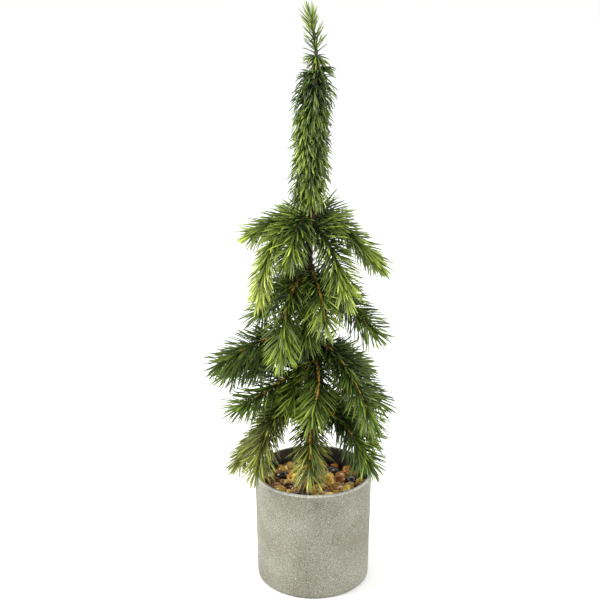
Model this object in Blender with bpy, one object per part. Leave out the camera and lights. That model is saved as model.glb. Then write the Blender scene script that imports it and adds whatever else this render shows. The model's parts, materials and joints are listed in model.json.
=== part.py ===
"""A tabletop artificial spruce: a weeping little tree on a crooked taped trunk, cast into a round pot.

Metres, +Z up. The origin is the middle of the pot's underside, and -Y is the tree's front.
Every branch, pole sprig and the leader is a wired spray that bends where it leaves the trunk's
binding tape, so each has its object's origin there. A spray's solid is its stem with the dense
core of its needles. The loose needle ends are softer and finer than anything that carries load.
"""

import math

import bmesh
import bpy
from mathutils import Vector

GAP = 0.0003

# Pot: a thin-walled moulded pot, a little wider at its rim than at its foot.
POT_HEIGHT = 0.110
POT_RIM_RADIUS = 0.056
POT_FOOT_RADIUS = 0.054
POT_WALL = 0.0025
POT_FLOOR = 0.006
POT_FOOT_ROUNDING = 0.0035
RIM_ROUNDING = 0.0008
POT_SIDES = 48

# Plaster poured round the trunk rod, and the glued pebbles on it.
PEBBLE_DEPTH_BELOW_RIM = 0.010
PEBBLE_LAYER = 0.012
PEBBLE_HEIGHT = 0.003
PEBBLE_RADIUS = 0.0065
ROD_EMBEDMENT = 0.060

# Trunk: a steel rod with the sprays' wires and brown paper tape wound round it.
ROD_RADIUS = 0.0016
WRAP_RADIUS_LOW = 0.0052
WRAP_RADIUS_HIGH = 0.0024
TAPE = 0.0018
TAPE_MARGIN = 0.005
TRUNK_STEP = 0.008

# Heights above the rim at which each whorl is bound on, and the bare pole above the last one.
BOTTOM_HEIGHT = 0.070
LOWER_HEIGHT = 0.128
UPPER_HEIGHT = 0.196
CROWN_HEIGHT = 0.252
POLE_LENGTH = 0.139

# The trunk leans a few millimetres to and fro: (height above the rim, distance along X).
TRUNK_BENDS = (
    (0.000, 0.0000),
    (0.090, -0.0020),
    (0.190, -0.0050),
    (0.270, -0.0040),
    (0.330, -0.0030),
    (0.370, 0.0000),
    (0.395, 0.0015),
)

# Sprays: a wire stem with a dense core of needles round it.
STEM_RADIUS = 0.0012
BRANCH_CORE_RADIUS = 0.0055
SPRIG_STEM_RADIUS = 0.0009
SPRIG_CORE_RADIUS = 0.0019
CURVE_REACH = 0.38
OVER_RIM = 0.017
INSIDE_RIM = 0.006

# Each branch: azimuth in degrees from +X, root above its whorl's height, reach from the trunk's
# middle, drop from root to tip, slope at the root and at the tip in degrees, and the turn in
# azimuth from root to tip in degrees.
CROWN_BRANCHES = (
    (172, 0.002, 0.066, 0.028, -10, -22, 0),
    (-150, -0.002, 0.054, 0.080, 0, -82, 0),
    (-117, 0.002, 0.044, 0.042, -8, -60, 0),
    (-50, -0.006, 0.062, 0.069, -20, -45, 0),
    (-10, 0.001, 0.073, 0.053, -15, -42, 0),
    (48, 0.004, 0.054, 0.030, -5, -35, 0),
    (90, -0.002, 0.066, 0.044, -8, -45, 0),
    (130, 0.003, 0.060, 0.034, -5, -38, 0),
    (-134, -0.009, 0.041, 0.037, -50, -45, 0),
)
UPPER_BRANCHES = (
    (-70, 0.006, 0.050, 0.054, -10, -74, 0),
    (162, 0.006, 0.062, 0.060, -35, -32, 0),
    (-18, -0.004, 0.077, 0.055, -25, -36, 0),
    (-118, 0.002, 0.054, 0.080, 5, -84, 0),
    (46, -0.002, 0.068, 0.050, -15, -40, 0),
    (98, 0.002, 0.070, 0.058, -18, -48, 0),
    (-94, -0.012, 0.027, 0.060, -40, -86, 0),
)
LOWER_BRANCHES = (
    (-172, 0.012, 0.098, 0.038, 5, -34, 0),
    (-153, -0.020, 0.090, 0.031, -22, -5, 0),
    (-74, -0.008, 0.054, 0.060, 0, -78, -24),
    (-14, 0.002, 0.078, 0.063, -30, -34, 0),
    (-43, 0.008, 0.088, 0.076, -10, -52, 0),
    (46, -0.006, 0.084, 0.050, -15, -38, 0),
    (96, 0.004, 0.080, 0.062, -10, -50, 0),
    (144, -0.002, 0.082, 0.052, -12, -42, 0),
    (-120, -0.016, 0.040, 0.050, -30, -72, 0),
    (168, 0.000, 0.095, 0.047, -12, -36, 0),
)
# The lowest branches hang over the rim, or for the third one just inside it.
RIM_REACH = POT_RIM_RADIUS + OVER_RIM
BOTTOM_BRANCHES = (
    (-170, 0.004, RIM_REACH + 0.005, 0.072, -28, -54, 0),
    (-140, 0.010, RIM_REACH - 0.004, 0.077, 15, -84, 0),
    (-92, 0.000, POT_RIM_RADIUS - POT_WALL - INSIDE_RIM, 0.069, 0, -84, 0),
    (-38, 0.002, RIM_REACH + 0.006, 0.058, -12, -46, 0),
    (-3, -0.002, RIM_REACH - 0.005, 0.043, -25, -34, 0),
    (44, 0.004, RIM_REACH - 0.001, 0.052, -12, -44, 0),
    (92, 0.000, RIM_REACH - 0.007, 0.050, -12, -48, 0),
    (138, 0.006, RIM_REACH - 0.003, 0.054, -10, -46, 0),
)
WHORLS = {
    "crown": (CROWN_HEIGHT, CROWN_BRANCHES),
    "upper": (UPPER_HEIGHT, UPPER_BRANCHES),
    "lower": (LOWER_HEIGHT, LOWER_BRANCHES),
    "bottom": (BOTTOM_HEIGHT, BOTTOM_BRANCHES),
}

# Pole sprigs: tiers of short sprays folded down along the pole, each tier turned from the last so
# that its sprigs hang between those above. Inside a tier the roots step down in shares of the pitch.
TIERS = 3
TIER_TURN = 45
SPRIG_STEPS = (0.1, 0.0, 0.3, 0.15)
FIRST_SPRIG_AZIMUTH = -84
TOP_TIER_BELOW_POLE_TOP = 0.0055
LAST_TIPS_ABOVE_CROWN = 0.005
POLE_TAPE = 0.0010
SPRIG_CLEAR_OF_TAPE = 0.0006
SPRIG_LENGTH_OF_PITCH = 1.6
SPRIG_LAUNCH = -74
SPRIG_TIP = -88

# Leader: the upright spray at the top, leaning a little to one side.
LEADER_LENGTH = 0.048
LEADER_LEAN = -0.0085
LEADER_CORE_RADIUS = 0.0042

# The bends that give a spray its shape, as shares of the way from root to tip.
STEM_SHARE = 0.03
SPRAY_POINTS = (0.0, STEM_SHARE, 0.1, 0.2, 0.3, 0.4, 0.5, 0.6, 0.7, 0.8, 0.9, 1.0)
SWELL_START = 0.10

RIM = POT_HEIGHT
PLASTER_TOP = RIM - PEBBLE_DEPTH_BELOW_RIM - PEBBLE_LAYER
TRUNK_TOP = RIM + CROWN_HEIGHT + POLE_LENGTH
SPRIGS_PER_TIER = len(SPRIG_STEPS)
PITCHES_ON_POLE = TIERS - 1 + max(SPRIG_STEPS) + SPRIG_LENGTH_OF_PITCH
TIER_PITCH = (POLE_LENGTH - TOP_TIER_BELOW_POLE_TOP - LAST_TIPS_ABOVE_CROWN) / PITCHES_ON_POLE

POT_GREY = (0.50, 0.48, 0.43)
PLASTER_WHITE = (0.78, 0.76, 0.72)
PEBBLE_OCHRE = (0.42, 0.26, 0.10)
ROD_STEEL = (0.45, 0.44, 0.42)
BARK_BROWN = (0.14, 0.08, 0.055)
TAPE_BROWN = (0.20, 0.11, 0.05)
DEEP_GREEN = (0.050, 0.125, 0.030)
MID_GREEN = (0.085, 0.190, 0.035)
FRESH_GREEN = (0.180, 0.300, 0.050)


def clear_scene():
    for thing in list(bpy.data.objects):
        bpy.data.objects.remove(thing, do_unlink=True)


def principled(name, colour, roughness, metallic=0.0):
    made = bpy.data.materials.new(name)
    made.use_nodes = True
    shader = made.node_tree.nodes["Principled BSDF"]
    shader.inputs["Base Color"].default_value = (*colour, 1.0)
    shader.inputs["Roughness"].default_value = roughness
    shader.inputs["Metallic"].default_value = metallic
    return made


def add_object(name, data, place, material):
    data.materials.append(material)
    thing = bpy.data.objects.new(name, data)
    thing.location = place
    bpy.context.collection.objects.link(thing)
    return thing


def mesh_object(name, shape, place, material, sharp_angle=40):
    bmesh.ops.recalc_face_normals(shape, faces=shape.faces)
    mesh = bpy.data.meshes.new(name)
    shape.to_mesh(mesh)
    shape.free()
    mesh.shade_smooth()
    mesh.set_sharp_from_angle(angle=math.radians(sharp_angle))
    return add_object(name, mesh, place, material)


def turned(name, outline, sides, material):
    """A solid of revolution: outline is a list of (radius, height) that starts and ends on the axis."""
    shape = bmesh.new()
    points = [shape.verts.new((radius, 0.0, height)) for radius, height in outline]
    edges = [shape.edges.new(pair) for pair in zip(points, points[1:])]
    bmesh.ops.spin(
        shape,
        geom=points + edges,
        axis=(0, 0, 1),
        cent=(0, 0, 0),
        steps=sides,
        angle=math.tau,
    )
    bmesh.ops.remove_doubles(shape, verts=shape.verts, dist=0.00001)
    return mesh_object(name, shape, (0, 0, 0), material)


def ring_at(shape, centre, radius, sides):
    """A level ring of points round a centre."""
    turns = [math.tau * i / sides for i in range(sides)]
    return [
        shape.verts.new((centre.x + radius * math.cos(a), centre.y + radius * math.sin(a), centre.z))
        for a in turns
    ]


def bridge(shape, ring, other):
    for i in range(len(ring)):
        j = (i + 1) % len(ring)
        shape.faces.new((ring[i], ring[j], other[j], other[i]))


def sleeve(name, heights, inner, outer, sides, material):
    """A tube round the trunk: inner and outer give the radius at each height."""
    shape = bmesh.new()
    outside = [ring_at(shape, trunk_centre(z), outer(z), sides) for z in heights]
    inside = [ring_at(shape, trunk_centre(z), inner(z), sides) for z in heights]
    loop = outside + inside[::-1]
    for ring, other in zip(loop, loop[1:] + loop[:1]):
        bridge(shape, ring, other)
    return mesh_object(name, shape, (0, 0, 0), material)


def trunk_centre(height):
    """The middle of the trunk at a height, easing from one bend to the next."""
    above = height - RIM
    if above <= TRUNK_BENDS[0][0]:
        return Vector((TRUNK_BENDS[0][1], 0.0, height))
    for (low, x_low), (high, x_high) in zip(TRUNK_BENDS, TRUNK_BENDS[1:]):
        if above <= high:
            share = (above - low) / (high - low)
            eased = share * share * (3.0 - 2.0 * share)
            return Vector((x_low + (x_high - x_low) * eased, 0.0, height))
    return Vector((TRUNK_BENDS[-1][1], 0.0, height))


def wrap_radius(height):
    share = (height - RIM) / (TRUNK_TOP - RIM)
    share = min(max(share, 0.0), 1.0)
    return WRAP_RADIUS_LOW + (WRAP_RADIUS_HIGH - WRAP_RADIUS_LOW) * share


def tape_radius(height, tape=TAPE):
    return wrap_radius(height) + GAP + tape


def spaced(low, high, step):
    """Even heights from low to high, about a step apart."""
    count = max(1, round((high - low) / step))
    return [low + (high - low) * i / count for i in range(count + 1)]


def pot():
    wall_in_rim = POT_RIM_RADIUS - POT_WALL
    wall_in_foot = POT_FOOT_RADIUS - POT_WALL
    arc = [math.radians(a) for a in (0, 30, 60, 90)]
    foot = [
        (
            POT_FOOT_RADIUS - POT_FOOT_ROUNDING + POT_FOOT_ROUNDING * math.sin(a),
            POT_FOOT_ROUNDING - POT_FOOT_ROUNDING * math.cos(a),
        )
        for a in arc
    ]
    rim = [
        (POT_RIM_RADIUS, POT_HEIGHT - RIM_ROUNDING),
        (POT_RIM_RADIUS - RIM_ROUNDING, POT_HEIGHT),
        (wall_in_rim + RIM_ROUNDING, POT_HEIGHT),
        (wall_in_rim, POT_HEIGHT - RIM_ROUNDING),
    ]
    outline = [(0, 0), *foot, *rim, (wall_in_foot, POT_FLOOR), (0, POT_FLOOR)]
    turned("pot", outline, POT_SIDES, principled("pot_coating", POT_GREY, 0.9))


def pot_inner_radius(height):
    share = (height - POT_FLOOR) / (POT_HEIGHT - RIM_ROUNDING - POT_FLOOR)
    return POT_FOOT_RADIUS - POT_WALL + (POT_RIM_RADIUS - POT_FOOT_RADIUS) * share


def filler():
    hole = ROD_RADIUS + GAP
    hole_bottom = PLASTER_TOP - ROD_EMBEDMENT - GAP
    clearance = 2 * GAP
    low = POT_FLOOR + GAP
    outline = [
        (0, low),
        (pot_inner_radius(low) - clearance, low),
        (pot_inner_radius(PLASTER_TOP) - clearance, PLASTER_TOP),
        (hole, PLASTER_TOP),
        (hole, hole_bottom),
        (0, hole_bottom),
    ]
    turned("filler_block", outline, POT_SIDES, principled("plaster", PLASTER_WHITE, 0.9))


def pebble_bump(x, y):
    """The height of the pebbles' backs over the bed: rounded humps on a staggered grid."""
    row = math.pi * y / (PEBBLE_RADIUS * math.sqrt(3))
    column = math.pi * x / PEBBLE_RADIUS
    return PEBBLE_HEIGHT * (0.5 + 0.5 * math.cos(row) * math.cos(column / 2))


def pebble_bed():
    low = PLASTER_TOP + GAP
    high = PLASTER_TOP + PEBBLE_LAYER - PEBBLE_HEIGHT
    hole = wrap_radius(high) + GAP
    edge = pot_inner_radius(low) - 2 * GAP
    sides = 36
    centre = Vector((0, 0, low))
    shape = bmesh.new()
    underside = [ring_at(shape, centre, radius, sides) for radius in (hole, edge)]
    top = []
    for radius in spaced(edge, hole, PEBBLE_RADIUS):
        ring = ring_at(shape, Vector((0, 0, high)), radius, sides)
        for point in ring:
            point.co.z += pebble_bump(point.co.x, point.co.y)
        top.append(ring)
    loop = underside + top
    for ring, other in zip(loop, loop[1:] + loop[:1]):
        bridge(shape, ring, other)
    mesh_object("pebble_bed", shape, (0, 0, 0), principled("pebbles", PEBBLE_OCHRE, 0.25))


def curve_object(name, place, points, radii, sides_setting, material):
    """A round tube through the points, which are given from its place, with a radius at each."""
    curve = bpy.data.curves.new(name, "CURVE")
    curve.dimensions = "3D"
    curve.bevel_depth = 1.0
    curve.bevel_resolution = sides_setting
    curve.use_fill_caps = True
    spline = curve.splines.new("POLY")
    spline.points.add(len(points) - 1)
    for slot, point, radius in zip(spline.points, points, radii):
        slot.co = (*point, 1.0)
        slot.radius = radius
    return add_object(name, curve, place, material)


def trunk():
    rod_bottom = PLASTER_TOP - ROD_EMBEDMENT
    wrap_bottom = PLASTER_TOP + GAP
    heights = spaced(wrap_bottom, TRUNK_TOP, TRUNK_STEP)
    rod_points = [trunk_centre(z) for z in [rod_bottom, *heights]]
    steel = principled("rod_steel", ROD_STEEL, 0.4, 1.0)
    curve_object("trunk_rod", (0, 0, 0), rod_points, [ROD_RADIUS] * len(rod_points), 2, steel)
    bark = principled("bark_tape", BARK_BROWN, 0.85)
    sleeve("trunk_wrap", heights, lambda z: ROD_RADIUS + GAP, wrap_radius, 12, bark)


def binding(name, low, high, thickness=TAPE):
    """The tape wound over the roots of a whorl: a band that thins to its edges."""
    edge = 0.2

    def band(z):
        share = abs(2 * (z - low) / (high - low) - 1)
        return tape_radius(z, thickness * (1.0 if share < 0.99 else edge))

    heights = [low, *spaced(low + thickness, high - thickness, TRUNK_STEP), high]
    tape = principled(f"{name}_tape", TAPE_BROWN, 0.8)
    sleeve(name, heights, lambda z: wrap_radius(z) + GAP, band, 12, tape)


def heading(azimuth):
    return Vector((math.cos(math.radians(azimuth)), math.sin(math.radians(azimuth)), 0.0))


def bent_stem(azimuth, start, end, launch, tip, turn):
    """A stem's points from its root: out along an azimuth and down, as one cubic curve.

    start and end are (reach, height); launch and tip are the slopes in degrees there.
    """
    pull = CURVE_REACH * math.dist(start, end)
    out = (
        start[0] + pull * math.cos(math.radians(launch)),
        start[1] + pull * math.sin(math.radians(launch)),
    )
    back = (
        end[0] - pull * math.cos(math.radians(tip)),
        end[1] - pull * math.sin(math.radians(tip)),
    )
    points = []
    for t in SPRAY_POINTS:
        s = 1.0 - t
        weights = (s**3, 3 * s * s * t, 3 * s * t * t, t**3)
        corners = (start, out, back, end)
        reach = sum(w * corner[0] for w, corner in zip(weights, corners))
        height = sum(w * corner[1] for w, corner in zip(weights, corners))
        points.append(heading(azimuth + turn * t * t) * reach + Vector((0, 0, height)))
    return points


def core_radii(stem, core):
    """The stem's radius to the first needles, then their core, which swells and thins again."""
    radii = []
    for t in SPRAY_POINTS:
        share = max(0.0, (t - SWELL_START) / (1.0 - SWELL_START))
        radii.append(stem + (core - stem) * math.sin(math.pi * share**0.8))
    radii[0] = stem / 2
    return radii


def spray(name, points, stem, core, material):
    root = points[0]
    local = [point - root for point in points]
    curve_object(name, root, local, core_radii(stem, core), 1, material)


def along_trunk(points):
    """The points, each carried sideways with the trunk's middle at its height."""
    return [point + trunk_centre(point.z) - Vector((0, 0, point.z)) for point in points]


def branch(name, whorl_height, row, material):
    azimuth, above, reach, drop, launch, tip, turn = row
    height = RIM + whorl_height + above
    root_reach = tape_radius(height) + GAP + STEM_RADIUS
    points = bent_stem(azimuth, (root_reach, height), (reach, height - drop), launch, tip, turn)
    trunk_here = trunk_centre(height) - Vector((0, 0, height))
    points = [trunk_here + point for point in points]
    spray(name, points, STEM_RADIUS, BRANCH_CORE_RADIUS, material)


def whorls():
    greens = {
        "crown": principled("crown_needles", FRESH_GREEN, 0.5),
        "upper": principled("upper_needles", MID_GREEN, 0.5),
        "lower": principled("lower_needles", DEEP_GREEN, 0.5),
        "bottom": principled("bottom_needles", MID_GREEN, 0.5),
    }
    for whorl, (whorl_height, rows) in WHORLS.items():
        roots = [RIM + whorl_height + row[1] for row in rows]
        binding(f"{whorl}_binding", min(roots) - TAPE_MARGIN, max(roots) + TAPE_MARGIN)
        for i, row in enumerate(rows, 1):
            branch(f"{whorl}_branch_{i}", whorl_height, row, greens[whorl])


def pole_sprigs():
    green = principled("sprig_needles", DEEP_GREEN, 0.5)
    length = TIER_PITCH * SPRIG_LENGTH_OF_PITCH
    for tier in range(TIERS):
        top_root = TRUNK_TOP - TOP_TIER_BELOW_POLE_TOP - tier * TIER_PITCH
        low_root = top_root - TIER_PITCH * max(SPRIG_STEPS)
        binding(f"pole_binding_{tier + 1}", low_root - TAPE_MARGIN, top_root + TAPE_MARGIN, POLE_TAPE)
        for i, step in enumerate(SPRIG_STEPS):
            azimuth = FIRST_SPRIG_AZIMUTH + tier * TIER_TURN + i * 360 / SPRIGS_PER_TIER
            root_height = top_root - TIER_PITCH * step
            tip_height = root_height - length
            start = (tape_radius(root_height, POLE_TAPE) + GAP + SPRIG_STEM_RADIUS, root_height)
            end = (tape_radius(tip_height, POLE_TAPE) + SPRIG_CLEAR_OF_TAPE + SPRIG_CORE_RADIUS, tip_height)
            points = along_trunk(bent_stem(azimuth, start, end, SPRIG_LAUNCH, SPRIG_TIP, 0))
            name = f"pole_sprig_{tier * SPRIGS_PER_TIER + i + 1}"
            spray(name, points, SPRIG_STEM_RADIUS, SPRIG_CORE_RADIUS, green)


def leader():
    root = trunk_centre(TRUNK_TOP) + Vector((0, 0, GAP + STEM_RADIUS / 2))
    points = [root + Vector((LEADER_LEAN * t * t, 0.0, LEADER_LENGTH * t)) for t in SPRAY_POINTS]
    green = principled("leader_needles", FRESH_GREEN, 0.5)
    spray("leader", points, STEM_RADIUS, LEADER_CORE_RADIUS, green)


clear_scene()
pot()
filler()
pebble_bed()
trunk()
whorls()
pole_sprigs()
leader()
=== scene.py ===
"""A tabletop artificial spruce: wired needle sprays on a taped trunk, set in a cement-look pot.

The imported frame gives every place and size: the pot, the trunk's bends, and each spray's line
from its hinge to its tip. Each piece below is built round those and rides on their bodies.
Lengths are in metres and angles in degrees.
"""

import json
import math

import bmesh
import bpy
import numpy as np
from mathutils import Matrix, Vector, noise


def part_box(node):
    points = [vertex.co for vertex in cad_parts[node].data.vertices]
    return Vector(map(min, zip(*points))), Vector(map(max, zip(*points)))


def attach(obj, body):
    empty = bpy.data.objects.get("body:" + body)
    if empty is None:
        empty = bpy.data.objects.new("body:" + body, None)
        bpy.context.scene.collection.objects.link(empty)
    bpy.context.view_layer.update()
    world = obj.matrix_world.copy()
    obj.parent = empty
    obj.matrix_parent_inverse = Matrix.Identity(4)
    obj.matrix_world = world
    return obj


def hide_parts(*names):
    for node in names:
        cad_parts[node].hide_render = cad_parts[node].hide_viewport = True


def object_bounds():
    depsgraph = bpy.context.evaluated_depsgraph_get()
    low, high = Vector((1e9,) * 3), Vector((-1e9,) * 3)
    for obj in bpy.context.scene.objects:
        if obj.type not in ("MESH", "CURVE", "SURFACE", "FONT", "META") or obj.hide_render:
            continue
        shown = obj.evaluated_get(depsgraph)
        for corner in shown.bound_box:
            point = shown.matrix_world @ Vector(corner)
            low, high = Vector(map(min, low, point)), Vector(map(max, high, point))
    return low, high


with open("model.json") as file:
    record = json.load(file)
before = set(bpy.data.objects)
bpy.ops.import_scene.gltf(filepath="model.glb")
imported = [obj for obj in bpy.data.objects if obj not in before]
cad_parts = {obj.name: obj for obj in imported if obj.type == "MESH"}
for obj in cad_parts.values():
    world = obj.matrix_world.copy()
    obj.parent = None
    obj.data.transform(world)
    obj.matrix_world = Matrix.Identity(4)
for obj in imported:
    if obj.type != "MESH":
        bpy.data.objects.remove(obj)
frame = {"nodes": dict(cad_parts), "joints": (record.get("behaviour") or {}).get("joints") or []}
frame_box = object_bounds()

# ---------------------------------------------------------------------------------------------
# The view and the light. A wide pale floor, a large softbox high on the left, a weaker one on
# the right, and an even white room round them.

CAMERA_PLACE = (0.0, -1.2, 0.694)
CAMERA_DOWN = 18.94
CAMERA_LEFT = 0.61
CAMERA_LENS = 82.7
FLOOR_HALF = 30.0
FLOOR_WHITE = (0.92, 0.92, 0.91)
ROOM_WHITE = (1, 1, 1)
ROOM_LIGHT = 1.05
KEY_LIGHT = {"place": (-1.8, -0.35, 1.5), "size": 1.0, "watts": 58.0}
FILL_LIGHT = {"place": (1.8, -0.15, 1.1), "size": 1.2, "watts": 24.0}


def new_material(name, roughness):
    """A material with its node tree and its shader."""
    made = bpy.data.materials.new(name)
    made.use_nodes = True
    shader = made.node_tree.nodes["Principled BSDF"]
    shader.inputs["Roughness"].default_value = roughness
    return made, made.node_tree, shader


def link_object(name, data, place=(0, 0, 0)):
    made = bpy.data.objects.new(name, data)
    made.location = place
    bpy.context.collection.objects.link(made)
    return made


def softbox(name, place, size, watts, aim):
    lamp = bpy.data.lights.new(name, "AREA")
    lamp.size = size
    lamp.energy = watts
    made = link_object(name, lamp, place)
    made.rotation_euler = (Vector(aim) - Vector(place)).to_track_quat("-Z", "Y").to_euler()


def floor():
    corners = [(-1, -1), (1, -1), (1, 1), (-1, 1)]
    mesh = bpy.data.meshes.new("floor")
    mesh.from_pydata([(FLOOR_HALF * x, FLOOR_HALF * y, 0) for x, y in corners], [], [(0, 1, 2, 3)])
    made = link_object("floor", mesh)
    paint, _, shader = new_material("floor_paint", 0.9)
    shader.inputs["Base Color"].default_value = (*FLOOR_WHITE, 1)
    mesh.materials.append(paint)


camera = link_object("camera", bpy.data.cameras.new("camera"), CAMERA_PLACE)
camera.data.lens = CAMERA_LENS
camera.rotation_euler = (math.radians(90 - CAMERA_DOWN), 0, math.radians(CAMERA_LEFT))
bpy.context.scene.camera = camera
bpy.context.scene.view_settings.view_transform = "Standard"

room = bpy.data.worlds.new("room")
room.use_nodes = True
background = room.node_tree.nodes["Background"]
background.inputs["Strength"].default_value = ROOM_LIGHT
background.inputs["Color"].default_value = (*ROOM_WHITE, 1)
bpy.context.scene.world = room
middle = (frame_box[0] + frame_box[1]) / 2
softbox("key_light", **KEY_LIGHT, aim=middle)
softbox("fill_light", **FILL_LIGHT, aim=middle)
floor()

# ---------------------------------------------------------------------------------------------
# The pot: a thin-walled pot whose outside and rim carry a sprayed sandy coating that looks like cement. The
# rim is paler, partly rubbed wear and partly a painted highlight; the inside is plain and near-black.

POTTED_TRUNK = "potted_trunk"
POT_SIDES = 160
POT_ROWS = 70
INSIDE_ROWS = 12
FOOT_ROUNDING = 0.0035
FOOT_STEPS = 7
RIM_ROUNDING = 0.0006
RIM_STEPS = 4
END_CLOSED_FROM = 0.0001
POT_CREASE = 50
COAT_WAVE = 0.00025
COAT_WAVES_PER_METRE = 45
COAT_GRAIN = 0.00010
COAT_GRAINS_PER_METRE = 600
COAT_GREY = (0.218, 0.212, 0.166)
COAT_PALE = (0.258, 0.254, 0.208)
COAT_DARK = (0.176, 0.168, 0.126)
# The rim's pale colour: rubbed wear, and also a painted highlight along the rim.
COAT_WORN_AND_HIGHLIGHT = (0.44, 0.43, 0.38)
# A pale colour painted on a few sand grains as glints.
COAT_PAINTED_GLINT = (0.70, 0.69, 0.64)
# The inside's colours: near-black with a dark grey mottle.
INSIDE_NEAR_BLACK = (0.012, 0.011, 0.010)
INSIDE_MOTTLE_GREY = (0.03, 0.028, 0.026)
COATING, DARK_INSIDE, WORN_AND_HIGHLIT = 0, 1, 2


def grey(level):
    return (level, level, level)


def add_node(tree, kind, settings=None, **inputs):
    """A node with its settings, its inputs set by name, and links where an input is a socket."""
    made = tree.nodes.new(kind)
    for key, value in (settings or {}).items():
        setattr(made, key, value)
    for key, value in inputs.items():
        set_or_link(tree, made.inputs[key.replace("_", " ")], value)
    return made


def set_or_link(tree, socket, value):
    if isinstance(value, bpy.types.NodeSocket):
        tree.links.new(value, socket)
    else:
        socket.default_value = value


def speckle(tree, scale, detail=2.0, roughness=0.5):
    """Noise at a grain of 1/scale metres."""
    point = add_node(tree, "ShaderNodeTexCoord").outputs["Object"]
    made = add_node(
        tree, "ShaderNodeTexNoise", Vector=point, Scale=scale, Detail=detail, Roughness=roughness
    )
    return made.outputs["Fac"]


def ramp(tree, fac, *stops):
    """A colour ramp: each stop is its place and its colour."""
    made = add_node(tree, "ShaderNodeValToRGB", Fac=fac)
    band = made.color_ramp
    while len(band.elements) < len(stops):
        band.elements.new(0.5)
    for element, (place, colour) in zip(band.elements, stops):
        element.position = place
        element.color = (*colour, 1)
    return made.outputs["Color"]


def blend_colours(tree, fac, first, second, how="MIX"):
    made = add_node(tree, "ShaderNodeMix", {"data_type": "RGBA", "blend_type": how})
    for number, value in ((0, fac), (6, first), (7, second)):
        set_or_link(tree, made.inputs[number], value)
    return made.outputs[2]


def bump(tree, shader, height, distance, strength):
    made = add_node(tree, "ShaderNodeBump", Height=height, Distance=distance, Strength=strength)
    tree.links.new(made.outputs["Normal"], shader.inputs["Normal"])


def sandy_coating():
    """Soft clouds of grey, with darker and paler grains of sand, and pale specks painted on a few grains as
    glints.
    """
    made, tree, shader = new_material("sandy_coating", 0.93)
    clouds = ramp(tree, speckle(tree, 26, 5), (0.33, COAT_DARK), (0.52, COAT_GREY), (0.72, COAT_PALE))
    sand = speckle(tree, 1250, 1)
    grains = ramp(tree, sand, (0.34, grey(0.60)), (0.50, grey(1)), (0.66, grey(1.50)))
    coat = blend_colours(tree, 1.0, clouds, grains, "MULTIPLY")
    # A few pale specks are painted glints.
    painted_glints = ramp(tree, speckle(tree, 1000, 0), (0.79, grey(0)), (0.83, grey(0.85)))
    coat = blend_colours(tree, painted_glints, coat, (*COAT_PAINTED_GLINT, 1))
    tree.links.new(coat, shader.inputs["Base Color"])
    bump(tree, shader, speckle(tree, 1300, 3, 0.7), 0.0003, 0.35)
    return made


# The rim is painted pale: partly rubbed wear, partly a painted highlight.
def worn_and_highlit_rim():
    made, tree, shader = new_material("worn_and_highlit_rim", 0.85)
    colour = ramp(tree, speckle(tree, 500, 3), (0.35, COAT_PALE), (0.6, COAT_WORN_AND_HIGHLIGHT))
    tree.links.new(colour, shader.inputs["Base Color"])
    bump(tree, shader, speckle(tree, 1300, 3, 0.7), 0.0003, 0.4)
    return made


# The pot's inside is coloured near-black with a faint mottle.
def near_black_inside():
    made, tree, shader = new_material("near_black_inside", 0.45)
    mottled = ramp(tree, speckle(tree, 120, 3), (0.3, INSIDE_NEAR_BLACK), (0.8, INSIDE_MOTTLE_GREY))
    tree.links.new(mottled, shader.inputs["Base Color"])
    bump(tree, shader, speckle(tree, 400, 2), 0.0002, 0.2)
    return made


def corners_of(node):
    """Every corner of a frame node, once each, as rows of x, y, z."""
    points = np.array([v.co[:] for v in frame["nodes"][node].data.vertices])
    return np.unique(points.round(6), axis=0)


def mesh_piece(name, points, faces, materials, smooth=True):
    mesh = bpy.data.meshes.new(name)
    mesh.from_pydata(points, [], faces)
    for material in materials:
        mesh.materials.append(material)
    if smooth:
        mesh.shade_smooth()
    return link_object(name, mesh)


def tube_faces(rows, sides):
    """The faces of a stack of rings: the wall, then the first end and the last end."""
    faces = []
    for row in range(rows - 1):
        near, far = row * sides, (row + 1) * sides
        for i in range(sides):
            j = (i + 1) % sides
            faces.append([near + i, near + j, far + j, far + i])
    last = (rows - 1) * sides
    faces.append(list(range(sides))[::-1])
    faces.append([last + i for i in range(sides)])
    return faces


def fit(piece, body, slot, *nodes):
    """The piece rides on its body and stands for those nodes, which it hides; its slot is not used."""
    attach(piece, body)
    if nodes:
        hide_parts(*nodes)


def arc(centre, radius, start, end, steps):
    turns = np.radians(np.linspace(start, end, steps))
    return [(centre[0] + radius * math.cos(a), centre[1] + radius * math.sin(a)) for a in turns]


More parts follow.
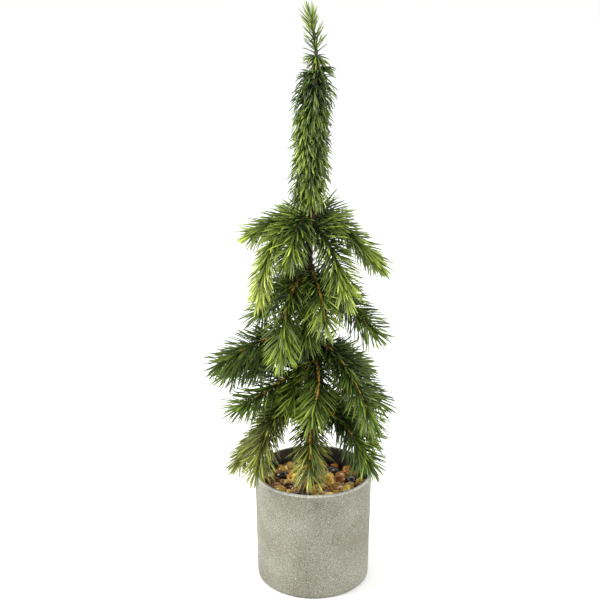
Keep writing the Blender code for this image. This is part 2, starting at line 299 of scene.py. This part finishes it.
def pot_outline():
    """Half the pot's section, from the middle of its foot over the rim to the middle of its
    floor, as radius and height, with the points in its coated stretch and on its rim counted."""
    low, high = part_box("pot")
    corners = corners_of("pot")
    radii = np.hypot(corners[:, 0], corners[:, 1])
    rim_radius = radii.max()
    foot_radius = radii[corners[:, 2] < low.z + 2 * FOOT_ROUNDING].max()
    inner_radius = radii[corners[:, 2] > high.z - FOOT_ROUNDING].min()
    floor_height = corners[corners[:, 2] > low.z + FOOT_ROUNDING * 1.1][:, 2].min()
    foot_centre = (foot_radius - FOOT_ROUNDING, low.z + FOOT_ROUNDING)
    foot = arc(foot_centre, FOOT_ROUNDING, -90, 0, FOOT_STEPS)
    heights = np.linspace(low.z + FOOT_ROUNDING, high.z - RIM_ROUNDING, POT_ROWS)[1:-1]
    taper = (rim_radius - foot_radius) / (high.z - low.z)
    side = [(foot_radius + taper * (z - low.z), z) for z in heights]
    rim_height = high.z - RIM_ROUNDING
    rim = arc((rim_radius - RIM_ROUNDING, rim_height), RIM_ROUNDING, 0, 90, RIM_STEPS)
    rim += arc((inner_radius + RIM_ROUNDING, rim_height), RIM_ROUNDING, 90, 180, RIM_STEPS)
    depths = np.linspace(high.z, floor_height, INSIDE_ROWS)[1:]
    inside = [(inner_radius - taper * 2 * (high.z - z), z) for z in depths]
    coated = len(foot) + len(side) + len(rim)
    foot_middle, floor_middle = (END_CLOSED_FROM, low.z), (END_CLOSED_FROM, floor_height)
    return [foot_middle, *foot, *side, *rim, *inside, floor_middle], coated, len(rim)


def pot():
    outline, coated, on_rim = pot_outline()
    points, finishes = [], []
    for row, (radius, height) in enumerate(outline):
        for i in range(POT_SIDES):
            turn = math.tau * i / POT_SIDES
            x, y = math.cos(turn), math.sin(turn)
            swell = 0.0
            if 1 < row < coated - RIM_STEPS:
                where = Vector((x * radius, y * radius, height))
                swell = COAT_WAVE * (noise.noise(where * COAT_WAVES_PER_METRE) - 0.5)
                swell += COAT_GRAIN * noise.noise(where * COAT_GRAINS_PER_METRE)
            points.append((x * (radius + swell), y * (radius + swell), height))
    for row in range(len(outline) - 1):
        finish = COATING if row < coated - on_rim else WORN_AND_HIGHLIT if row < coated - 1 else DARK_INSIDE
        finishes += [finish] * POT_SIDES
    finishes += [COATING, DARK_INSIDE]
    faces = tube_faces(len(outline), POT_SIDES)
    made = mesh_piece("pot_shell", points, faces, [sandy_coating(), near_black_inside(), worn_and_highlit_rim()])
    made.data.polygons.foreach_set("material_index", finishes)
    made.data.set_sharp_from_angle(angle=math.radians(POT_CREASE))
    fit(made, POTTED_TRUNK, "pot_coating", "pot")


pot()

# ---------------------------------------------------------------------------------------------
# The plaster that fills the pot. It is poured round the trunk's rod and ends just under the
# pebbles, so only a chink of it ever shows.

PLASTER_PALE = (0.66, 0.63, 0.58)
PLASTER_DARK = (0.40, 0.37, 0.33)


def plaster():
    made, tree, shader = new_material("cast_plaster", 0.9)
    colour = ramp(tree, speckle(tree, 140, 5), (0.3, PLASTER_DARK), (0.7, PLASTER_PALE))
    tree.links.new(colour, shader.inputs["Base Color"])
    bump(tree, shader, speckle(tree, 500, 4), 0.0005, 0.6)
    return made


def finish_node(node, material):
    """A frame node whose own shape is right, in a better finish."""
    thing = frame["nodes"][node]
    thing.data.materials.clear()
    thing.data.materials.append(material)


finish_node("filler_block", plaster())

# ---------------------------------------------------------------------------------------------
# The pebbles: polished river pebbles, ochre, amber, cream and dark brown, poured in and glued in
# a layer two deep. Each is a squashed, uneven ball that lies at its own slant.

PEBBLE_SEED = 11
PEBBLES_ON_TOP = 60
PEBBLES_BELOW = 56
PEBBLE_LENGTH = (0.0050, 0.0086)
PEBBLE_WIDTH = (0.66, 0.92)
PEBBLE_THICKNESS = (0.62, 0.85)
PEBBLE_SPACING = 0.0124
PEBBLE_FROM_WALL = 0.006
PEBBLE_UNEVEN = 0.26
PEBBLE_LUMPS = 1.3
PEBBLE_SINK = 0.0052
LOWER_LAYER_SINK = 0.9
PEBBLE_LIFT = (-0.0022, 0.0008)
PEBBLE_SLANT = 0.32
PEBBLE_TONE = (0.8, 1.2)
SETTLE_ROUNDS = 60
SETTLE_PUSH = 0.35
PEBBLE_COLOURS = (
    (0.44, 0.18, 0.012),
    (0.56, 0.33, 0.036),
    (0.92, 0.72, 0.24),
    (0.23, 0.080, 0.010),
    (0.105, 0.040, 0.010),
    (0.46, 0.31, 0.065),
    (0.028, 0.016, 0.008),
    (0.74, 0.50, 0.075),
    (0.32, 0.19, 0.040),
)
VEIN_DARK = (0.36, 0.31, 0.27)
VEIN_PALE = (1.55, 1.45, 1.15)


def pebble_polish():
    """Veined stone under a thin gloss. The mesh carries each pebble's own colour."""
    made, tree, shader = new_material("pebble_polish", 0.2)
    tint = add_node(tree, "ShaderNodeAttribute", {"attribute_name": "tint"}).outputs["Color"]
    veins = ramp(tree, speckle(tree, 260, 5, 0.6), (0.34, VEIN_DARK), (0.52, grey(1)), (0.72, VEIN_PALE))
    colour = blend_colours(tree, 1.0, tint, veins, "MULTIPLY")
    tree.links.new(colour, shader.inputs["Base Color"])
    shader.inputs["Coat Weight"].default_value = 0.25
    shader.inputs["Coat Roughness"].default_value = 0.08
    bump(tree, shader, speckle(tree, 700, 3), 0.0001, 0.15)
    return made


def settle(spots, hole, wall):
    """Pushes spots nearer than the spacing apart, a little each round, between hole and wall."""
    for _ in range(SETTLE_ROUNDS):
        gap = spots[:, None] - spots[None]
        far = np.linalg.norm(gap, axis=2) + np.eye(len(spots))
        push = np.clip(PEBBLE_SPACING - far, 0, None)[:, :, None] * gap / far[:, :, None]
        spots = spots + SETTLE_PUSH * push.sum(axis=1)
        reach = np.linalg.norm(spots, axis=1, keepdims=True)
        spots = spots * np.clip(reach, hole, wall) / np.maximum(reach, 1e-6)
    return spots


def tilted(slant, spin):
    """The turn that slants a pebble and then spins it round, as a matrix."""
    cos, sin = math.cos(slant), math.sin(slant)
    tilt = np.array([[1, 0, 0], [0, cos, -sin], [0, sin, cos]])
    cos, sin = math.cos(spin), math.sin(spin)
    twirl = np.array([[cos, -sin, 0], [sin, cos, 0], [0, 0, 1]])
    return twirl @ tilt


def pebble_shape(ball, draw):
    """One pebble at the origin, as the ball's corners moved."""
    length = draw.uniform(*PEBBLE_LENGTH)
    width = length * draw.uniform(*PEBBLE_WIDTH)
    thick = min(length * draw.uniform(*PEBBLE_THICKNESS), PEBBLE_SINK)
    warp = draw.uniform(-50, 50, 3)
    lumps = np.array([noise.noise(Vector(p * PEBBLE_LUMPS + warp)) for p in ball])
    shape = ball * (1 + PEBBLE_UNEVEN * lumps[:, None]) * (length, width, thick)
    slant, spin = draw.normal(0, PEBBLE_SLANT), draw.uniform(0, math.tau)
    return shape @ tilted(slant, spin).T


def pebbles():
    low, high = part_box("pebble_bed")
    draw = np.random.RandomState(PEBBLE_SEED)
    ball = bmesh.new()
    bmesh.ops.create_icosphere(ball, subdivisions=3, radius=1.0)
    ball_points = np.array([v.co[:] for v in ball.verts])
    ball_faces = np.array([[v.index for v in f.verts] for f in ball.faces])
    ball.free()
    wall = high.x - PEBBLE_FROM_WALL
    hole = -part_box("bottom_binding")[0].x
    layers = (
        (high.z - PEBBLE_SINK, PEBBLES_ON_TOP),
        (low.z + PEBBLE_SINK * LOWER_LAYER_SINK, PEBBLES_BELOW),
    )
    points, faces, tints = [], [], []
    for layer_height, count in layers:
        reach = np.sqrt(draw.uniform(hole**2, wall**2, count))
        turn = draw.uniform(0, math.tau, count)
        spots = np.stack([reach * np.cos(turn), reach * np.sin(turn)], 1)
        for x, y in settle(spots, hole, wall):
            shape = pebble_shape(ball_points, draw)
            place = (x, y, layer_height + draw.uniform(*PEBBLE_LIFT))
            faces.append(ball_faces + sum(map(len, points)))
            points.append(shape + place)
            colour = np.array(PEBBLE_COLOURS[draw.randint(len(PEBBLE_COLOURS))])
            colour = colour * draw.uniform(*PEBBLE_TONE)
            tints.append(np.tile([*colour, 1.0], (len(ball_points), 1)))
    points = np.concatenate(points)
    points[:, 2] = np.clip(points[:, 2], low.z, None)
    faces = np.concatenate(faces).tolist()
    made = mesh_piece("pebbles", points.tolist(), faces, [pebble_polish()])
    tint = made.data.attributes.new("tint", "FLOAT_COLOR", "POINT")
    tint.data.foreach_set("color", np.concatenate(tints).ravel().astype(np.float32))
    fit(made, POTTED_TRUNK, "pebbles", "pebble_bed")


pebbles()

# ---------------------------------------------------------------------------------------------
# The trunk: a drawn steel rod, wound with bark-coloured crinkled paper tape. Each whorl's wire
# roots are bound on with more turns of brown tape.

TAPE_SIDES = 40
TAPE_ROW_HEIGHT = 0.0009
TAPE_FEWEST_ROWS = 6
WRAP_PITCH = 0.0110
BINDING_PITCH = 0.0042
TAPE_THICKNESS = 0.00035
LAP_FLUSH = 0.6
TAPE_CRINKLE = 0.00030
CRINKLES_ROUND = 3
CRINKLES_PER_METRE = 900
TAPE_END_PRESSED = 0.0006
TAPE_END_LENGTH = 0.0008
TAPE_CREASE = 60
RING_FLATNESS = 0.00002
BARK_BROWN = (0.048, 0.023, 0.017)
BARK_DARK = (0.018, 0.010, 0.008)
BINDING_BROWN = (0.044, 0.026, 0.012)
STEEL_GREY = (0.46, 0.45, 0.43)
STEEL_DARK = (0.30, 0.29, 0.28)


def drawn_steel():
    made, tree, shader = new_material("drawn_steel", 0.38)
    shader.inputs["Metallic"].default_value = 1.0
    streaks = ramp(tree, speckle(tree, 300, 3), (0.3, STEEL_DARK), (0.7, STEEL_GREY))
    tree.links.new(streaks, shader.inputs["Base Color"])
    return made


def paper_tape(name, dark, light):
    made, tree, shader = new_material(name, 0.85)
    colour = ramp(tree, speckle(tree, 330, 5, 0.65), (0.32, dark), (0.62, light))
    tree.links.new(colour, shader.inputs["Base Color"])
    shader.inputs["Specular IOR Level"].default_value = 0.2
    bump(tree, shader, speckle(tree, 900, 4), 0.0005, 0.8)
    return made


def sleeve_rings(node):
    """A sleeve's middle and outer radius at each of its heights, lowest first."""
    corners = corners_of(node)
    rings = []
    for height in np.unique(corners[:, 2].round(5)):
        ring = corners[np.abs(corners[:, 2] - height) < RING_FLATNESS]
        centre = ring.mean(axis=0)
        rings.append((*centre, np.hypot(*(ring - centre)[:, :2].T).max()))
    return np.array(rings)


def wound_tape(node, slot, pitch, material):
    """A sleeve as it is really wound: one turn of tape over the edge of the last, and crinkled."""
    rings = sleeve_rings(node)
    low, high = rings[0, 2], rings[-1, 2]
    rows = max(TAPE_FEWEST_ROWS, int((high - low) / TAPE_ROW_HEIGHT))
    points = []
    for height in np.linspace(low, high, rows):
        x, y, radius = (np.interp(height, rings[:, 2], rings[:, k]) for k in (0, 1, 3))
        end = min(height - low, high - height)
        radius -= TAPE_END_PRESSED * math.exp(-end / TAPE_END_LENGTH)
        for i in range(TAPE_SIDES):
            turn = math.tau * i / TAPE_SIDES
            lap = ((height - low) / pitch + i / TAPE_SIDES) % 1.0
            round_x, round_y = math.cos(turn) * CRINKLES_ROUND, math.sin(turn) * CRINKLES_ROUND
            crinkle = noise.noise(Vector((round_x, round_y, height * CRINKLES_PER_METRE)))
            r = radius + TAPE_THICKNESS * (lap - LAP_FLUSH) + TAPE_CRINKLE * crinkle
            points.append((x + r * math.cos(turn), y + r * math.sin(turn), height))
    made = mesh_piece(f"{node}_tape", points, tube_faces(rows, TAPE_SIDES), [material])
    made.data.set_sharp_from_angle(angle=math.radians(TAPE_CREASE))
    fit(made, POTTED_TRUNK, slot, node)


finish_node("trunk_rod", drawn_steel())
wound_tape("trunk_wrap", "bark_tape", WRAP_PITCH, paper_tape("bark_paper", BARK_DARK, BARK_BROWN))
binding_paper = paper_tape("binding_paper", BARK_BROWN, BINDING_BROWN)
for node in sorted(frame["nodes"]):
    if node.endswith("_binding") or node.startswith("pole_binding"):
        wound_tape(node, "binding_tape", BINDING_PITCH, binding_paper)

# ---------------------------------------------------------------------------------------------
# The sprays: every branch, sprig and the leader is a wire stem dipped in soft plastic, with
# moulded needles all round it. Stems are orange to brown at the root, and greener to the tip.

SPRAY_SEED = 100
RING_SIDES = 6
ROUNDING_PASSES = 3
NEAR_UPRIGHT = 0.1
STEM_SIDES = 10
STEM_ROWS = 60
STEM_RADIUS_ROOT = 0.0018
STEM_RADIUS_TIP = 0.0009
STEM_KNOB = 0.16
STEM_KNOBS_ROUND = 5
STEM_KNOB_TWIST = 2.4
STEM_ORANGE = (0.50, 0.260, 0.040)
STEM_BROWN = (0.062, 0.040, 0.014)
STEM_GREEN = (0.13, 0.17, 0.022)

# How each form of spray grows: how many needle lengths its stem ends short of its tip, needle
# length and half width, needles to a metre of stem, how far they stand off the stem (at its root,
# halfway and at its tip), the share of that by which each bends forward, how much it droops (at
# the root and past it), and the share of the needles that crowd round the root.
GROWTH = {
    "full": {
        "stem_end": 0.66, "needle": 0.0258, "width": 0.00076, "density": 3700,
        "stand": (62, 62, 50), "curl": 0.20, "droop": (0.10, 0.10), "crowd": 0.0,
    },
    "slim": {
        "stem_end": 0.66, "needle": 0.0220, "width": 0.00074, "density": 3900,
        "stand": (34, 44, 38), "curl": 0.12, "droop": (0.10, 0.10), "crowd": 0.0,
    },
    "sprig": {
        "stem_end": 0.15, "needle": 0.0165, "width": 0.00074, "density": 4200,
        "stand": (138, 98, 66), "curl": 0.58, "droop": (0.50, 0.50), "crowd": 0.14,
    },
    "leader": {
        "stem_end": 0.50, "needle": 0.0158, "width": 0.00062, "density": 4000,
        "stand": (118, 48, 32), "curl": 0.18, "droop": (1.1, 0.0), "crowd": 0.40,
    },
}
NEEDLE_ROWS = 5
NEEDLE_TAPER = (0.70, 1.0, 1.0, 0.96, 0.78)
NEEDLE_THINNESS = 0.62
GOLDEN_TURN = math.pi * (3 - math.sqrt(5))
ROOT_SHARE = 0.1
STAND_PLACES = (0, 0.15, 0.5, 0.9)
SIZE_PLACES = (0, 0.25, 0.8, 1)
SIZE_SHARES = (0.78, 0.97, 1.0, 0.88)
TUFT_FROM = 0.94
TUFT_STAND = (0.05, 1.1)

# How far one needle differs from the next.
TURN_SPREAD = 0.25
STAND_SPREAD = 0.13
SIZE_SPREAD = 0.09
CURL_SPREAD = 0.25
DROOP_SPREAD = (0.3, 1.5)
ROLL_SPREAD = 0.7
TONE_MIDDLE = 0.45
TONE_SPREAD = 0.27

# On some sprays the needles part along the top, which bares the stem.
PARTING = 0.88
PARTED_SHARE = 0.7
PARTED_TURN = 0.4
PARTED_SPRAYS = (
    "upper_branch_1",
    "lower_branch_2",
    "lower_branch_3",
    "lower_branch_5",
    "bottom_branch_3",
)

# The greens: a needle's base and its tip, and its tip in the newest growth at a spray's end. The dark base
# is partly the needles' own green and partly painted shade deep in the spray.
GREENS = {
    "bright": {"base": (0.064, 0.109, 0.008), "tip": (0.333, 0.410, 0.070), "growth": (0.550, 0.627, 0.154)},
    "fresh": {"base": (0.025, 0.054, 0.007), "tip": (0.188, 0.263, 0.035), "growth": (0.312, 0.400, 0.075)},
    "mid": {"base": (0.018, 0.037, 0.004), "tip": (0.120, 0.175, 0.019), "growth": (0.182, 0.255, 0.029)},
    "olive": {"base": (0.036, 0.047, 0.007), "tip": (0.174, 0.204, 0.034), "growth": (0.258, 0.291, 0.052)},
    "deep": {"base": (0.013, 0.030, 0.004), "tip": (0.087, 0.143, 0.018), "growth": (0.134, 0.204, 0.025)},
}
# Each needle's tone as a tint: random darker and lighter needles, and at the top a painted whitish highlight
# on a few.
NEEDLE_TONE_AND_HIGHLIGHT = (
    (0.0, (0.30, 0.33, 0.34)),
    (0.45, (0.88, 0.90, 0.85)),
    (0.8, (1.6, 1.5, 1.3)),
    (1.0, (2.7, 2.5, 2.7)),
)

# Each kind of spray, and the sprays that differ from their kind.
KINDS = {
    "crown_branch": {"form": "slim", "stem": "brown", "green": "fresh", "slot": "crown_needles"},
    "upper_branch": {"form": "full", "stem": "orange", "green": "mid", "slot": "upper_needles"},
    "lower_branch": {"form": "full", "stem": "orange", "green": "deep", "slot": "lower_needles"},
    "bottom_branch": {"form": "full", "stem": "orange", "green": "olive", "slot": "bottom_needles"},
    "pole_sprig": {"form": "sprig", "stem": "brown", "green": "mid", "slot": "sprig_needles"},
    "leader": {"form": "leader", "stem": "brown", "green": "fresh", "slot": "leader_needles"},
}
SPRAY_FORM = {
    "crown_branch_3": "full",
    "crown_branch_4": "full",
    "crown_branch_6": "full",
    "crown_branch_7": "full",
    "crown_branch_9": "full",
    "bottom_branch_1": "slim",
}
SPRAY_GREEN = {
    "crown_branch_2": "bright",
    "crown_branch_9": "deep",
    "upper_branch_1": "fresh",
    "upper_branch_2": "deep",
    "upper_branch_3": "deep",
    "upper_branch_7": "deep",
    "lower_branch_3": "mid",
    "lower_branch_9": "mid",
    "bottom_branch_4": "deep",
    "pole_sprig_1": "deep",
    "pole_sprig_4": "deep",
    "pole_sprig_5": "deep",
    "pole_sprig_8": "fresh",
    "pole_sprig_9": "fresh",
}


def growth_shares(tree):
    """What the mesh carries: how far along its needle a point is, how far out on the spray it is rooted, and
    the needle's own tone, whose top end also picks the few needles given a painted highlight."""
    shares = add_node(tree, "ShaderNodeAttribute", {"attribute_name": "growth"}).outputs["Color"]
    return add_node(tree, "ShaderNodeSeparateColor", Color=shares).outputs[:3]


def needle_plastic(name, base, tip, growth):
    """The needles' soft plastic: darker at each needle's base, partly its own green and partly painted shade
    where the needles crowd round the stem, paler at its tip, palest where the spray has its newest growth."""
    made, tree, shader = new_material(f"{name}_needle_plastic", 0.34)
    along, outward, tone_and_highlight = growth_shares(tree)
    # The needles' dark lower part is partly painted shade from deep in the spray.
    old = ramp(tree, along, (0.0, base), (0.35, base), (1.0, tip))
    new = ramp(tree, along, (0.0, base), (0.25, tip), (1.0, growth))
    share = ramp(tree, outward, (0.40, grey(0)), (0.95, grey(1)))
    green = blend_colours(tree, share, old, new)
    toned = blend_colours(tree, 1.0, green, ramp(tree, tone_and_highlight, *NEEDLE_TONE_AND_HIGHLIGHT), "MULTIPLY")
    tree.links.new(toned, shader.inputs["Base Color"])
    shader.inputs["Specular IOR Level"].default_value = 0.35
    bump(tree, shader, speckle(tree, 1500, 2), 0.0001, 0.15)
    return made


def stem_plastic(name, wood):
    """The stems' knobbly plastic: brown where they are bound on, wood-coloured, then green."""
    made, tree, shader = new_material(f"{name}_stem_plastic", 0.6)
    outward = growth_shares(tree)[1]
    colour = ramp(tree, outward, (0.0, STEM_BROWN), (0.15, wood), (0.7, wood), (1.0, STEM_GREEN))
    mottle = ramp(tree, speckle(tree, 420, 4), (0.36, (0.42, 0.46, 0.5)), (0.56, grey(1.15)))
    mottled = blend_colours(tree, 1.0, colour, mottle, "MULTIPLY")
    tree.links.new(mottled, shader.inputs["Base Color"])
    bump(tree, shader, speckle(tree, 900, 3), 0.0004, 0.6)
    return made


def spray_line(node, root, rows):
    """A spray's middle line at even spacing, from its hinge to its tip, and its length.

    Its solid is a tube of six-sided rings, and each ring lies farther from the hinge than the last.
    """
    corners = corners_of(node)
    order = np.argsort(np.linalg.norm(corners - root, axis=1))
    whole = len(corners) // RING_SIDES * RING_SIDES
    middles = corners[order][:whole].reshape(-1, RING_SIDES, 3).mean(axis=1)
    middles[0] = root
    for _ in range(ROUNDING_PASSES):
        smooth = np.repeat(middles, 2, axis=0)
        smooth[1:-1:2] = 0.75 * middles[:-1] + 0.25 * middles[1:]
        smooth[2:-1:2] = 0.25 * middles[:-1] + 0.75 * middles[1:]
        middles = smooth
    steps = np.linalg.norm(np.diff(middles, axis=0), axis=1)
    lengths = np.concatenate([[0], np.cumsum(steps)])
    even = np.linspace(0, lengths[-1], rows)
    return np.stack([np.interp(even, lengths, middles[:, k]) for k in range(3)], 1), lengths[-1]


def unit(rows):
    return rows / np.maximum(np.linalg.norm(rows, axis=-1, keepdims=True), 1e-9)


def line_frames(line):
    """The line's direction at each point, with one across it and one below, neither twisting."""
    ahead = unit(np.gradient(line, axis=0))
    side = np.cross(ahead[0], (0, 0, 1))
    if np.linalg.norm(side) < NEAR_UPRIGHT:
        side = np.array((1.0, 0, 0))
    sides = []
    for direction in ahead:
        side = side - direction * (side @ direction)
        side = side / np.linalg.norm(side)
        sides.append(side)
    sides = np.array(sides)
    return ahead, sides, np.cross(ahead, sides)


def growth_attribute(piece, shares):
    made = piece.data.attributes.new("growth", "FLOAT_COLOR", "POINT")
    values = np.concatenate([shares, np.ones((len(shares), 1))], axis=1)
    made.data.foreach_set("color", values.ravel().astype(np.float32))


def stem_mesh(name, line, material):
    _, sides, belows = line_frames(line)
    points, shares = [], []
    for row, (centre, side, below) in enumerate(zip(line, sides, belows)):
        share = row / (len(line) - 1)
        radius = STEM_RADIUS_ROOT + (STEM_RADIUS_TIP - STEM_RADIUS_ROOT) * share
        for i in range(STEM_SIDES):
            turn = math.tau * i / STEM_SIDES
            knob = 1 + STEM_KNOB * math.sin(STEM_KNOBS_ROUND * turn + row * STEM_KNOB_TWIST)
            out = side * math.cos(turn) + below * math.sin(turn)
            points.append(tuple(centre + out * radius * knob))
            shares.append((0.0, share, 0.5))
    piece = mesh_piece(name, points, tube_faces(len(line), STEM_SIDES), [material])
    growth_attribute(piece, np.array(shares))
    return piece


def parted_turns(turn, draw):
    """The needles' turns round the stem, with most of those on top moved to either side."""
    moved = (np.sin(turn) < -PARTING) & (draw.uniform(0, 1, len(turn)) < PARTED_SHARE)
    aside = math.pi * draw.choice((-PARTED_TURN, PARTED_TURN), len(turn))
    return np.where(moved, turn + aside, turn)


def needle_plan(line, length, growth, parted, draw):
    """Every needle of a spray: where it is rooted, which way it grows, how long and how bent."""
    count = int(length * growth["density"])
    ahead, side, below = line_frames(line)
    place = (np.arange(count) + draw.uniform(0, 1, count)) / count
    crowding = draw.uniform(0, 1, count) < growth["crowd"]
    place = np.where(crowding, place * ROOT_SHARE, place)
    index = place * (len(line) - 1)
    rows = np.arange(len(line))
    nearest = np.clip(index.round().astype(int), 0, len(line) - 1)
    turn = np.arange(count) * GOLDEN_TURN + draw.normal(0, TURN_SPREAD, count)
    if parted:
        turn = parted_turns(turn, draw)
    out = side[nearest] * np.cos(turn)[:, None] + below[nearest] * np.sin(turn)[:, None]
    root, half, tip = growth["stand"]
    stand = np.radians(np.interp(place, STAND_PLACES, (root, half, half, tip)))
    stand = stand * draw.normal(1.0, STAND_SPREAD, count)
    stand = stand * np.where(place > TUFT_FROM, draw.uniform(*TUFT_STAND, count), 1.0)
    size = growth["needle"] * draw.normal(1.0, SIZE_SPREAD, count)
    size = size * np.interp(place, SIZE_PLACES, SIZE_SHARES)
    curl = stand * growth["curl"] * draw.normal(1.0, CURL_SPREAD, count)
    droop = np.interp(place, (ROOT_SHARE, 2 * ROOT_SHARE), growth["droop"])
    droop = droop * draw.uniform(*DROOP_SPREAD, count)
    return {
        "base": np.stack([np.interp(index, rows, line[:, k]) for k in range(3)], 1),
        "forward": ahead[nearest],
        "out": out,
        "place": place,
        "stand": stand,
        "size": size,
        "curl": curl,
        "droop": droop,
        "roll": draw.uniform(-ROLL_SPREAD, ROLL_SPREAD, count)[:, None],
        "tone_and_highlight": np.clip(draw.normal(TONE_MIDDLE, TONE_SPREAD, count), 0, 1),
    }


def needle_faces(count):
    """The faces of that many needles: their four sides, with the root closed, then their points."""
    per = 4 * NEEDLE_ROWS + 1
    quads = []
    for row in range(NEEDLE_ROWS - 1):
        for i in range(4):
            j = (i + 1) % 4
            quads.append([4 * row + i, 4 * row + j, 4 * row + 4 + j, 4 * row + 4 + i])
    quads.append([3, 2, 1, 0])
    last = 4 * (NEEDLE_ROWS - 1)
    tips = [[last + i, last + (i + 1) % 4, per - 1] for i in range(4)]
    start = (np.arange(count) * per)[:, None, None]
    faces = (np.array(quads) + start).reshape(-1, 4).tolist()
    return faces + (np.array(tips) + start).reshape(-1, 3).tolist()


def needle_mesh(name, plan, half_width, material):
    """All the needles of a spray: each a slim four-sided blade that bends forward to its point."""
    edge = unit(np.cross(plan["forward"], plan["out"]))
    roll = plan["roll"]
    centre = plan["base"].copy()
    rings, shares = [], []
    for row in range(NEEDLE_ROWS + 1):
        share = row / NEEDLE_ROWS
        angle = plan["stand"] - plan["curl"] * share
        heading = plan["forward"] * np.cos(angle)[:, None] + plan["out"] * np.sin(angle)[:, None]
        heading[:, 2] -= plan["droop"] * share
        heading = unit(heading)
        if row:
            centre = centre + heading * (plan["size"] / NEEDLE_ROWS)[:, None]
        along = np.stack([np.full(len(centre), share), plan["place"], plan["tone_and_highlight"]], 1)
        if row == NEEDLE_ROWS:
            rings.append(centre)
            shares.append(along)
            break
        flat = unit(np.cross(edge, heading))
        wide = (edge * np.cos(roll) + flat * np.sin(roll)) * half_width * NEEDLE_TAPER[row]
        thick = (flat * np.cos(roll) - edge * np.sin(roll)) * half_width * NEEDLE_THINNESS
        thick = thick * NEEDLE_TAPER[row]
        rings += [centre + wide, centre + thick, centre - wide, centre - thick]
        shares += [along] * 4
    points = np.stack(rings, axis=1).reshape(-1, 3).tolist()
    piece = mesh_piece(name, points, needle_faces(len(centre)), [material], smooth=False)
    growth_attribute(piece, np.stack(shares, axis=1).reshape(-1, 3))
    return piece


needle_finish = {name: needle_plastic(name, **greens) for name, greens in GREENS.items()}
stem_finish = {
    "orange": stem_plastic("orange", STEM_ORANGE),
    "brown": stem_plastic("brown", STEM_BROWN),
}
for number, joint in enumerate(frame["joints"]):
    node = joint["child"]
    kind = KINDS[node.rstrip("0123456789").rstrip("_")]
    growth = GROWTH[SPRAY_FORM.get(node, kind["form"])]
    draw = np.random.RandomState(SPRAY_SEED + number)
    line, length = spray_line(node, np.array(joint["pos_m"]), STEM_ROWS)
    stem_length = length - growth["stem_end"] * growth["needle"]
    stem_line = line[: int(STEM_ROWS * stem_length / length)]
    stem = stem_mesh(f"{node}_stem", stem_line, stem_finish[kind["stem"]])
    plan = needle_plan(stem_line, stem_length, growth, node in PARTED_SPRAYS, draw)
    finish = needle_finish[SPRAY_GREEN.get(node, kind["green"])]
    needles = needle_mesh(f"{node}_needles", plan, growth["width"], finish)
    fit(stem, node, kind["slot"], node)
    fit(needles, node, kind["slot"], node)
